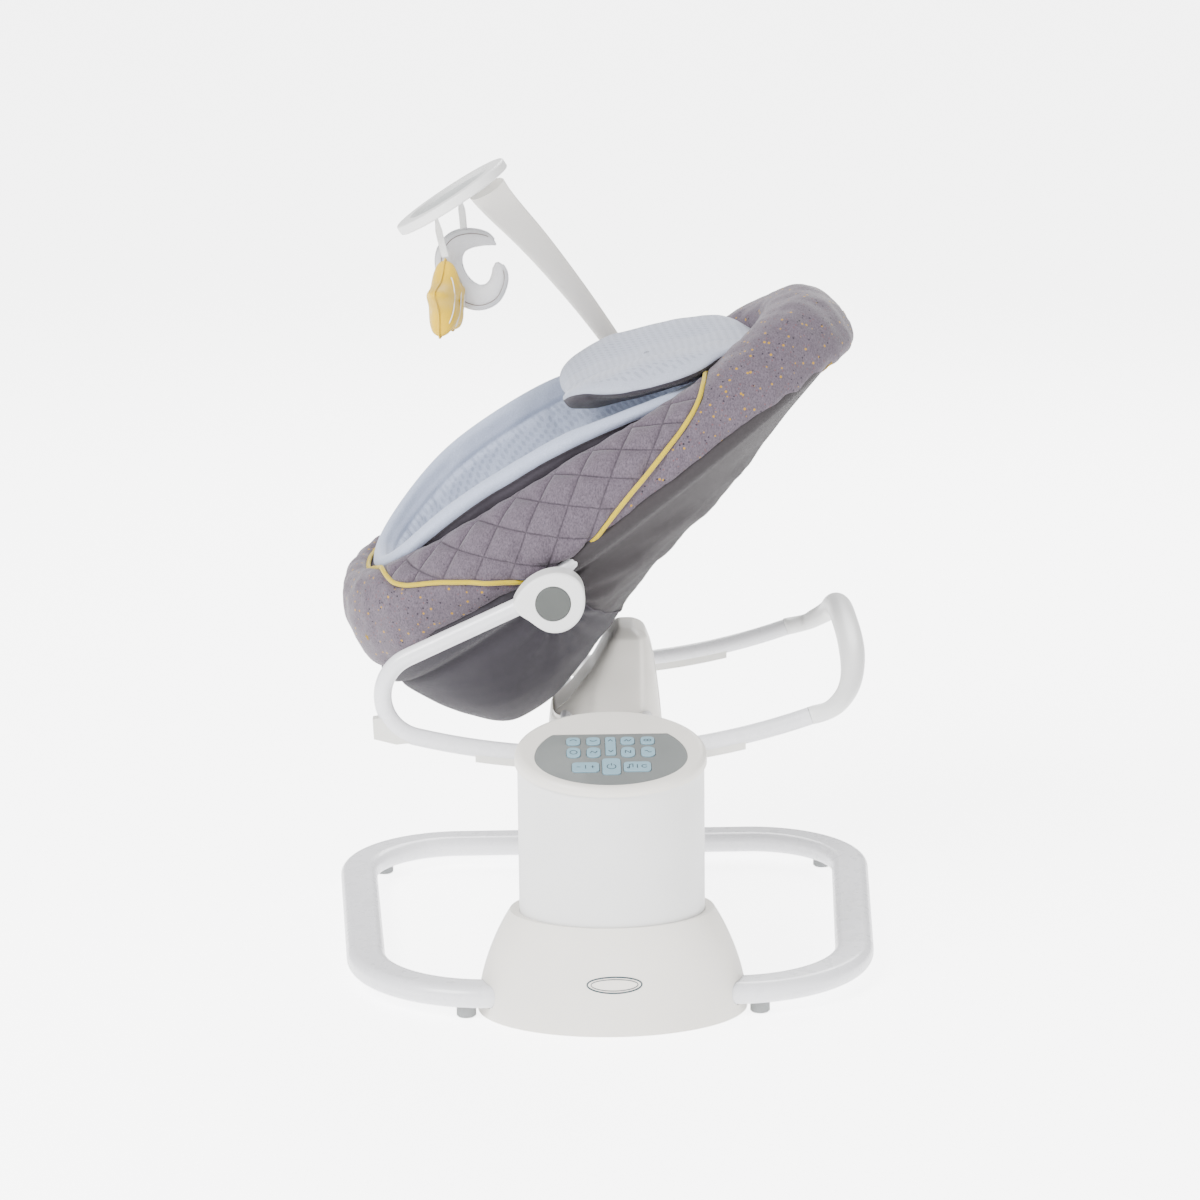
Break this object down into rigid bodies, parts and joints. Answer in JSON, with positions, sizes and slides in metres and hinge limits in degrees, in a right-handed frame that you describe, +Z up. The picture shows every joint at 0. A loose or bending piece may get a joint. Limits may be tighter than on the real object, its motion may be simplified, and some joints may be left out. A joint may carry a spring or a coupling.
{
  "type": "baby swing",
  "caption": "Motor-driven baby swing: floor ring, round control tower, gliding arm, lift-off rocker frame and reclined sling seat with a hanging mobile.",
  "frame": {"origin": "floor level, centre of the whole footprint", "axes": "+Z up; -Y is the side with the control panel; +X is the head end of the seat"},
  "size_m": [0.671, 0.697, 0.951],
  "materials": {
    "white_paint": "satin powder coat",
    "foot_rubber": "matte",
    "warm_white_shell": "fine satin moulding",
    "white_shell": "satin moulding",
    "inner_plastic": "moulded",
    "plated_steel": "zinc plated",
    "black_plastic": "moulded",
    "panel_grey": "silvery satin",
    "circuit_board": "lacquered board",
    "gear_nylon": "natural nylon",
    "motor_can": "drawn can",
    "button_grey": "satin",
    "pad_plastic": "soft touch",
    "heather_fabric": "heather knit with printed speckle",
    "sling_fabric": "smooth woven",
    "insert_fabric": "textured knit",
    "pillow_fabric": "textured knit",
    "buckle_grey": "satin",
    "webbing": "ribbed webbing",
    "tray_grey": "satin",
    "moon_fabric": "soft plush",
    "star_fabric": "soft plush",
    "key_blue_grey": "soft silicone"
  },
  "bodies": {
    "base": {"floor_ring": "white_paint", "ring_feet": "foot_rubber", "base_skirt": "warm_white_shell", "base_plate": "inner_plastic", "base_screws": "plated_steel", "tower_shell": "white_shell", "power_inlet": "black_plastic", "tower_head": "warm_white_shell", "control_panel": "panel_grey", "panel_board": "circuit_board", "speaker": "black_plastic", "swivel_post": "plated_steel", "swivel_motor": "motor_can"},
    "swivel_pinion": {"swivel_pinion": "gear_nylon"},
    "swivel": {"swivel_frame": "inner_plastic", "guide_rods": "plated_steel", "sector_gear": "gear_nylon", "glide_motor": "motor_can"},
    "glide_pinion": {"glide_pinion": "gear_nylon"},
    "arm": {"arm_beam": "plated_steel", "arm_shell": "warm_white_shell", "dock_mast": "inner_plastic"},
    "rocker": {"runner_tube_left": "white_paint", "runner_tube_right": "white_paint", "rear_handle": "white_shell", "hub_left": "white_shell", "hub_right": "white_shell", "dock_hood": "warm_white_shell", "dock_cross_tubes": "white_paint", "runner_pads": "pad_plastic"},
    "dock_release": {"dock_release": "button_grey"},
    "hub_button_left": {"hub_button_left": "button_grey"},
    "hub_button_right": {"hub_button_right": "button_grey"},
    "seat": {"seat_cover": "heather_fabric", "seat_bag": "sling_fabric", "body_insert": "insert_fabric", "head_pillow": "pillow_fabric", "seat_ring_tube": "white_paint", "seat_brackets": "inner_plastic", "mobile_socket": "white_shell", "crotch_buckle": "buckle_grey", "harness_webbing": "webbing"},
    "buckle_button": {"buckle_button": "button_grey"},
    "mobile": {"mobile_arm": "white_shell", "mobile_ring": "white_shell", "mobile_tray": "tray_grey"},
    "moon": {"moon_toy": "moon_fabric"},
    "star": {"star_toy": "star_fabric"},
    "motion_key_1": {"motion_key_1": "key_blue_grey"},
    "motion_key_2": {"motion_key_2": "key_blue_grey"},
    "motion_key_3": {"motion_key_3": "key_blue_grey"},
    "motion_key_4": {"motion_key_4": "key_blue_grey"},
    "motion_key_5": {"motion_key_5": "key_blue_grey"},
    "motion_key_6": {"motion_key_6": "key_blue_grey"},
    "motion_key_7": {"motion_key_7": "key_blue_grey"},
    "motion_key_8": {"motion_key_8": "key_blue_grey"},
    "power_key": {"power_key": "key_blue_grey"},
    "speed_rocker_key": {"speed_rocker_key": "key_blue_grey"},
    "volume_rocker_key": {"volume_rocker_key": "key_blue_grey"},
    "sound_rocker_key": {"sound_rocker_key": "key_blue_grey"}
  },
  "joints": [
    {"name": "sway", "type": "hinge", "parent": "base", "child": "swivel", "pos_m": [0, -0.2565, 0.2], "axis": [0, 0, 1], "range_deg": [-7, 7]},
    {"name": "swivel_pinion_spin", "type": "hinge", "parent": "base", "child": "swivel_pinion", "pos_m": [0.072, -0.2565, 0.15], "axis": [0, 0, 1], "range_deg": [-40, 40]},
    {"name": "glide", "type": "slide", "parent": "swivel", "child": "arm", "axis": [0, 1, 0], "range_m": [0, 0.03]},
    {"name": "glide_pinion_spin", "type": "hinge", "parent": "swivel", "child": "glide_pinion", "pos_m": [-0.039, -0.197, 0.21], "axis": [0, 0, 1], "range_deg": [-1, 200]},
    {"name": "rocker_lift", "type": "slide", "parent": "arm", "child": "rocker", "axis": [0, 0, 1], "range_m": [0, 0.12]},
    {"name": "dock_release_push", "type": "slide", "parent": "rocker", "child": "dock_release", "axis": [0, -1, 0], "range_m": [0, 0.004], "stiffness_N_per_m": 400, "springref_m": -0.001},
    {"name": "hub_button_left_push", "type": "slide", "parent": "rocker", "child": "hub_button_left", "axis": [0, 1, 0], "range_m": [0, 0.003], "stiffness_N_per_m": 400, "springref_m": -0.001},
    {"name": "hub_button_right_push", "type": "slide", "parent": "rocker", "child": "hub_button_right", "axis": [0, -1, 0], "range_m": [0, 0.003], "stiffness_N_per_m": 400, "springref_m": -0.001},
    {"name": "seat_recline", "type": "hinge", "parent": "rocker", "child": "seat", "pos_m": [-0.063, 0.0655, 0.465], "axis": [0, 1, 0], "range_deg": [0, 12]},
    {"name": "buckle_button_push", "type": "slide", "parent": "seat", "child": "buckle_button", "axis": [0.5299, 0, -0.848], "range_m": [0, 0.002], "stiffness_N_per_m": 300, "springref_m": -0.0008},
    {"name": "mobile_swivel", "type": "hinge", "parent": "seat", "child": "mobile", "pos_m": [0.06803, 0.2735, 0.61763], "axis": [-0.5299, 0, 0.848], "range_deg": [-60, 60]},
    {"name": "moon_swing", "type": "hinge", "parent": "mobile", "child": "moon", "pos_m": [-0.16604, 0.0655, 0.90542], "axis": [0, 1, 0], "range_deg": [-25, 25]},
    {"name": "star_swing", "type": "hinge", "parent": "mobile", "child": "star", "pos_m": [-0.19403, 0.0335, 0.88793], "axis": [0, 1, 0], "range_deg": [-25, 25]},
    {"name": "motion_key_1_press", "type": "slide", "parent": "base", "child": "motion_key_1", "axis": [0, 0.2588, -0.9659], "range_m": [0, 0.0012], "stiffness_N_per_m": 300, "springref_m": -0.0005},
    {"name": "motion_key_2_press", "type": "slide", "parent": "base", "child": "motion_key_2", "axis": [0, 0.2588, -0.9659], "range_m": [0, 0.0012], "stiffness_N_per_m": 300, "springref_m": -0.0005},
    {"name": "motion_key_3_press", "type": "slide", "parent": "base", "child": "motion_key_3", "axis": [0, 0.2588, -0.9659], "range_m": [0, 0.0012], "stiffness_N_per_m": 300, "springref_m": -0.0005},
    {"name": "motion_key_4_press", "type": "slide", "parent": "base", "child": "motion_key_4", "axis": [0, 0.2588, -0.9659], "range_m": [0, 0.0012], "stiffness_N_per_m": 300, "springref_m": -0.0005},
    {"name": "motion_key_5_press", "type": "slide", "parent": "base", "child": "motion_key_5", "axis": [0, 0.2588, -0.9659], "range_m": [0, 0.0012], "stiffness_N_per_m": 300, "springref_m": -0.0005},
    {"name": "motion_key_6_press", "type": "slide", "parent": "base", "child": "motion_key_6", "axis": [0, 0.2588, -0.9659], "range_m": [0, 0.0012], "stiffness_N_per_m": 300, "springref_m": -0.0005},
    {"name": "motion_key_7_press", "type": "slide", "parent": "base", "child": "motion_key_7", "axis": [0, 0.2588, -0.9659], "range_m": [0, 0.0012], "stiffness_N_per_m": 300, "springref_m": -0.0005},
    {"name": "motion_key_8_press", "type": "slide", "parent": "base", "child": "motion_key_8", "axis": [0, 0.2588, -0.9659], "range_m": [0, 0.0012], "stiffness_N_per_m": 300, "springref_m": -0.0005},
    {"name": "power_key_press", "type": "slide", "parent": "base", "child": "power_key", "axis": [0, 0.2588, -0.9659], "range_m": [0, 0.0012], "stiffness_N_per_m": 300, "springref_m": -0.0006},
    {"name": "speed_rocker_key_tilt", "type": "hinge", "parent": "base", "child": "speed_rocker_key", "pos_m": [0, -0.25166, 0.30953], "axis": [1, 0, 0], "range_deg": [-2, 2], "stiffness_Nm_per_rad": 0.08},
    {"name": "volume_rocker_key_tilt", "type": "hinge", "parent": "base", "child": "volume_rocker_key", "pos_m": [-0.0293, -0.29609, 0.29763], "axis": [0, 0.9659, 0.2588], "range_deg": [-2, 2], "stiffness_Nm_per_rad": 0.08},
    {"name": "sound_rocker_key_tilt", "type": "hinge", "parent": "base", "child": "sound_rocker_key", "pos_m": [0.0293, -0.29609, 0.29763], "axis": [0, 0.9659, 0.2588], "range_deg": [-2, 2], "stiffness_Nm_per_rad": 0.08}
  ],
  "couplings": [
    {"joint": "swivel_pinion_spin", "follows": "sway", "ratio": -5},
    {"joint": "glide_pinion_spin", "follows": "glide", "rad_per_m": 111.11}
  ]
}
